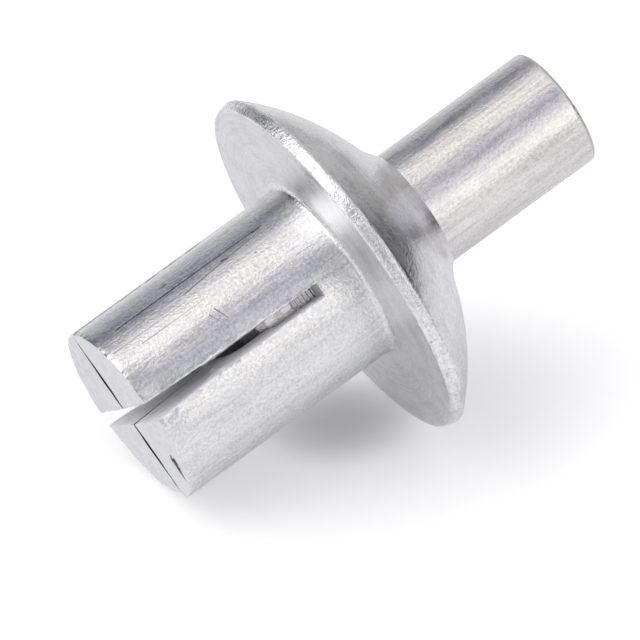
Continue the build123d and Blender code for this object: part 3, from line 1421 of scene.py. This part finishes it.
# A dark room with soft patches of lit wall, ring by ring: elevation and reach in degrees, then each
# patch's azimuth, radiance and colour. The dark gaps between them draw the soft bands along the shank
# and the pin: the widest lies across the domed head, and another runs behind the slot.
GLOW_RINGS = (
    (-12.5, 34.0, ((-119.0, 0.12, "FFFFFF"), (-79.0, 0.60, "FFFDFB"), (-59.0, 0.61, "FFFEFC"),
                   (-19.0, 0.19, "D4D4FF"), (1.0, 0.33, "FFFBF6"), (21.0, 0.52, "FFFAF3"),
                   (41.0, 0.13, "DCE0FF"), (61.0, 0.07, "D4D8FF"), (81.0, 0.08, "DCE0FF"),
                   (101.0, 0.38, "FFFFFF"), (121.0, 0.11, "FFFFFF"))),
    (-48.0, 44.0, ((-84.0, 0.04, "FFFFFF"), (-39.0, 0.62, "F0F0FF"), (6.0, 0.21, "FFFFFF"),
                   (51.0, 0.25, "FFFFFF"), (96.0, 0.41, "FFFFFF"))),
    (28.0, 48.0, ((-39.0, 0.42, "FFFFFF"), (21.0, 1.14, "FFFFFF"))),
    # Down the open slot from beyond the shank's tip, which lights the slot's walls.
    (78.0, 34.0, ((-39.0, 0.80, "FFFFFF"),)),
)
ROOM_GLOWS = tuple(Glow(Direction(azimuth, elevation), reach, radiance, colour)
                   for elevation, reach, patches in GLOW_RINGS for azimuth, radiance, colour in patches)


@dataclass(frozen=True)
class Room:
    """The studio's walls as the metal sees them, and the plain white backdrop that the camera sees."""

    glows: tuple[Glow, ...] = ROOM_GLOWS
    darkest: tuple[float, float, float] = (0.010, 0.010, 0.022)      # linear radiance of its gaps

    def build(self) -> None:
        """Makes the world."""
        world = bpy.data.worlds.new("studio_room")
        bpy.context.scene.world = world
        node = partial(add_node, bare_tree(world))
        way = node("ShaderNodeTexCoord").outputs["Generated"]
        way = node(VECTOR_MATH, {0: way}, operation="NORMALIZE")
        total = (0.0, 0.0, 0.0)
        for glow in self.glows:
            facing = node(VECTOR_MATH, {0: way, 1: glow.towards.vector()},
                          operation="DOT_PRODUCT").outputs["Value"]
            edge = math.cos(math.radians(glow.reach))
            share = node(MAP_RANGE, {0: facing, 1: edge, 2: 1.0, 3: 0.0, 4: glow.radiance},
                         interpolation_type="SMOOTHERSTEP")
            tint = node(VECTOR_MATH, {0: srgb(glow.colour)[:3], "Scale": share}, operation="SCALE")
            total = node(VECTOR_MATH, {0: total, 1: tint}, operation="ADD")
        total = node(VECTOR_MATH, {0: total, 1: self.darkest}, operation="MAXIMUM")
        seen = node("ShaderNodeLightPath").outputs["Is Camera Ray"]
        colour = node("ShaderNodeMix", {0: seen, 6: total, 7: WHITE}, data_type="RGBA").outputs[2]
        background = node("ShaderNodeBackground", {"Color": colour, "Strength": 1.0})
        node("ShaderNodeOutputWorld", {"Surface": background})


@dataclass(frozen=True)
class StudioPaper:
    """Matt white paper, which looks lighter to the camera than to the metal, carries a painted shadow
    near the rivet, and is clear from behind.
    """

    name: str
    colour: str = "F4F4F4"        # sRGB hex
    glow: float = 0.0             # radiance that the metal sees, on top of the light that falls on it
    core: float = 0.60            # painted shadow: radiance that the camera sees instead, in the core of the shadow
    beside: float = 0.60          # beside the rivet, where the painted shadow is lighter
    far: float = 0.60             # and away from it, where the paper fades to plain white
    painted_shadow_edge: tuple[float, float] = (0.00575, 0.00665)      # metres from the rivet's middle
    far_edge: tuple[float, float] = (0.0075, 0.0125)

    def material(self) -> bpy.types.Material:
        """Builds the material.

        Returns:
            The new material.
        """
        made = bpy.data.materials.new(self.name)
        node = partial(add_node, bare_tree(made))
        place = node("ShaderNodeTexCoord").outputs["Object"]
        fibre = node("ShaderNodeTexNoise", {"Vector": place, "Scale": 900.0, "Detail": 2.0})
        relief = node("ShaderNodeBump", {"Height": fibre, "Distance": 0.00002, "Strength": 0.3})
        sheet = node("ShaderNodeBsdfPrincipled", {"Base Color": srgb(self.colour), "Roughness": 0.9,
                                                  "Normal": relief, "Specular IOR Level": 0.1})
        away = node(VECTOR_MATH, {0: place}, operation="LENGTH").outputs["Value"]
        # Painted shadow: the camera sees the paper darker near the rivet, and darkest in the shadow's
        # core.
        painted_shadow_glow, far_glow = (
            node(MAP_RANGE, {0: away, 1: edge[0], 2: edge[1], 3: inside, 4: outside},
                 interpolation_type="SMOOTHSTEP")
            for edge, inside, outside in ((self.painted_shadow_edge, self.core, self.beside),
                                          (self.far_edge, 0.0, self.far - self.beside)))
        shown_glow = node(MATH, {0: painted_shadow_glow, 1: far_glow}, operation="ADD")
        seen = node("ShaderNodeLightPath").outputs["Is Camera Ray"]
        strength = node("ShaderNodeMix", {0: seen, 2: self.glow, 3: shown_glow}, data_type="FLOAT")
        light = node("ShaderNodeEmission", {"Strength": strength})
        front = node("ShaderNodeAddShader", {0: sheet, 1: light})
        behind = node("ShaderNodeNewGeometry").outputs["Backfacing"]
        clear = node("ShaderNodeBsdfTransparent")
        shown = node("ShaderNodeMixShader", {0: behind, 1: front, 2: clear})
        node("ShaderNodeOutputMaterial", {"Surface": shown})
        return made


@dataclass(frozen=True)
class Sheet:
    """A flat square of studio paper."""

    name: str
    centre: Vector                # metres
    facing: Vector
    side: float                   # metres
    paper: StudioPaper

    def build(self) -> bpy.types.Object:
        """Lays the sheet.

        Returns:
            The new object.
        """
        data = bpy.data.meshes.new(self.name)
        turn, half = self.facing.to_track_quat("Z", "Y"), self.side / 2.0
        corners = [self.centre + turn @ Vector((x * half, y * half, 0.0))
                   for x, y in ((-1, -1), (1, -1), (1, 1), (-1, 1))]
        data.from_pydata(corners, [], [(0, 1, 2, 3)])
        data.materials.append(self.paper.material())
        made = new_object(self.name, data)
        return made


@dataclass(frozen=True)
class Studio:
    """What stands round the rivet: the floor, a leaning board, the lamp and the room."""

    body_low: Vector              # corners of the body's box, in metres
    body_high: Vector
    shank_radius: float           # mm
    floor_height: float           # metres
    floor_gap: float = 0.00002    # metres, so that the floor and the pin's end aren't one plane
    board_azimuth: float = -174.0
    board_gap: float = 0.05       # mm from the rivet
    board_foot: float = -0.3      # height in mm at which it would touch the rim

    def build(self) -> None:
        """Builds the studio."""
        up = Vector((0.0, 0.0, 1.0))
        floor = Sheet("floor", up * (self.floor_height - self.floor_gap), up, 3.0,
                      StudioPaper("floor_paper")).build()
        # The metal and the board are lit by the whole room, the part of it below the floor as well.
        floor.visible_glossy = floor.visible_diffuse = floor.visible_shadow = False
        self.lean_board()
        lamp = Softbox(Direction(21.0, 28.0), distance=0.35, side=0.26, brightness=0.8)
        lamp.build((self.body_low + self.body_high) / 2.0)
        Room().build()

    def lean_board(self) -> None:
        """Leans a white board on the rim and the corner of the shank, for its shadow, deepened in its
        core by painted shadow, and for its light.
        """
        side = Direction(self.board_azimuth, 0.0).vector()
        rim = side * self.body_high.x + Vector((0.0, 0.0, self.board_foot * MM))
        tip = side * self.shank_radius * MM + Vector((0.0, 0.0, self.body_high.z))
        lean = (tip - rim).normalized()
        facing = (lean * side.dot(lean) - side).normalized()
        # The camera-only brightness is 0 in the shadow's core and rises away from the rivet: a painted
        # shadow over the real one.
        paper = StudioPaper("board_paper", glow=0.13, core=0.0, beside=0.29, far=0.43)
        Sheet("board", rim - facing * self.board_gap * MM, facing, 1.0, paper).build()


def mount_radius(record: dict, name: str) -> float:
    """Radius in mm of one of the record's mounts."""
    return next(m["dims"]["r_mm"] for m in record["mounts"] if m["name"] == name)


def main() -> None:
    """Builds the rivet in its frame, and the studio round it."""
    logging.basicConfig(level=logging.INFO, format="%(message)s")
    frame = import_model()
    body_low, body_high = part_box("rivet_body")
    pin_low, pin_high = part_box("drive_pin")
    shank_radius = mount_radius(frame["record"], "shank")
    bpy.context.scene.view_settings.view_transform = "Standard"
    StudioCamera().build()

    body = RivetBody(shank_radius, shank_length=body_high.z / MM, head_radius=body_high.x / MM,
                     lip_height=-body_low.z / MM, bore_radius=pin_high.x / MM + BORE_CLEARANCE).build()
    pin = DrivePin(radius=pin_high.x / MM, bottom=pin_low.z / MM, top=pin_high.z / MM).build()
    for piece, node, slot in ((body, "rivet_body", "body_aluminium"),
                              (pin, "drive_pin", "pin_aluminium")):
        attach(piece, "root")
        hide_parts(node)
        LOG.info("%s: %d faces", piece.name, len(piece.data.polygons))
    Studio(body_low, body_high, shank_radius, floor_height=pin_low.z).build()


if __name__ == "__main__":
    main()
